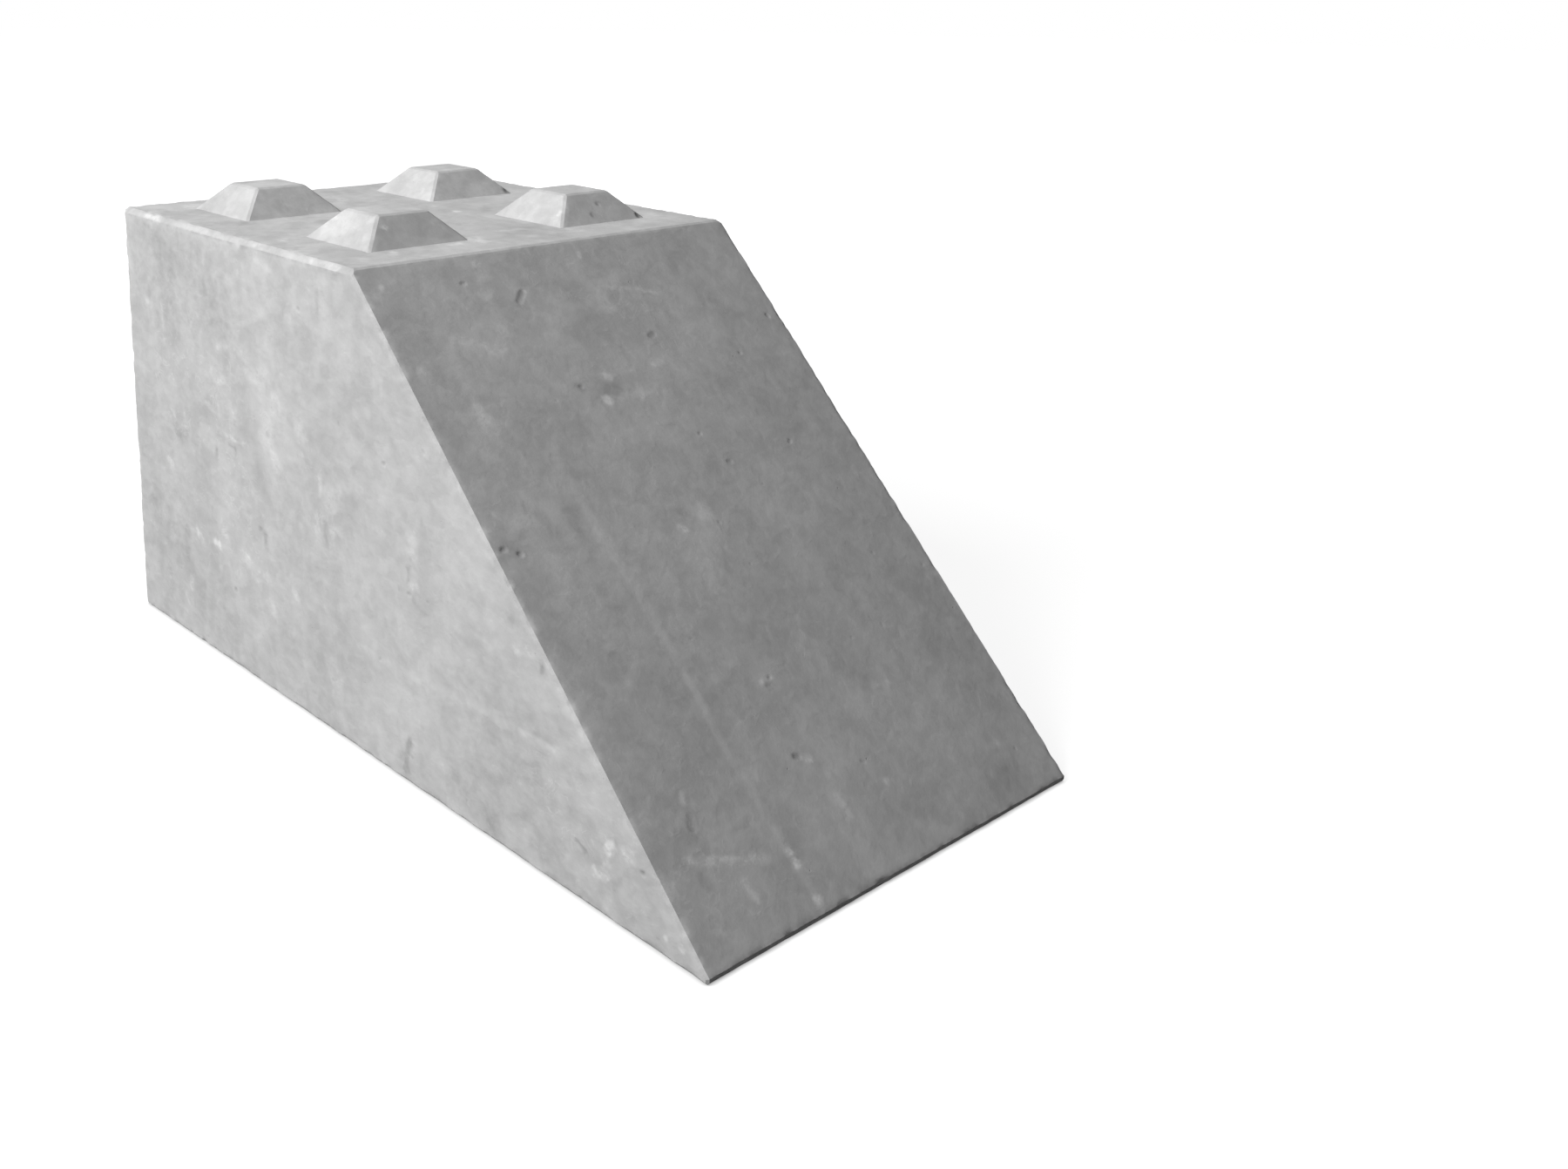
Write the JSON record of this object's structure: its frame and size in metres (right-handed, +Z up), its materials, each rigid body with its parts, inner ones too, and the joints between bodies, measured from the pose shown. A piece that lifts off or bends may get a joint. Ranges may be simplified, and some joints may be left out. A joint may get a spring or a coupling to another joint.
{
  "type": "interlocking concrete block",
  "caption": "Solid precast concrete block with a sloping end, pyramid studs on its flat top and matching sockets underneath, for dry-stacked walls and ramps.",
  "frame": {"origin": "middle of the underside's outline", "axes": "+X along the length from the upright back face to the toe of the slope, +Y across the width, +Z up; the picture shows the -Y side and the slope"},
  "size_m": [1.6, 0.8, 0.85],
  "materials": {
    "concrete": "matte"
  },
  "bodies": {
    "root": {"block": "concrete"}
  },
  "joints": []
}
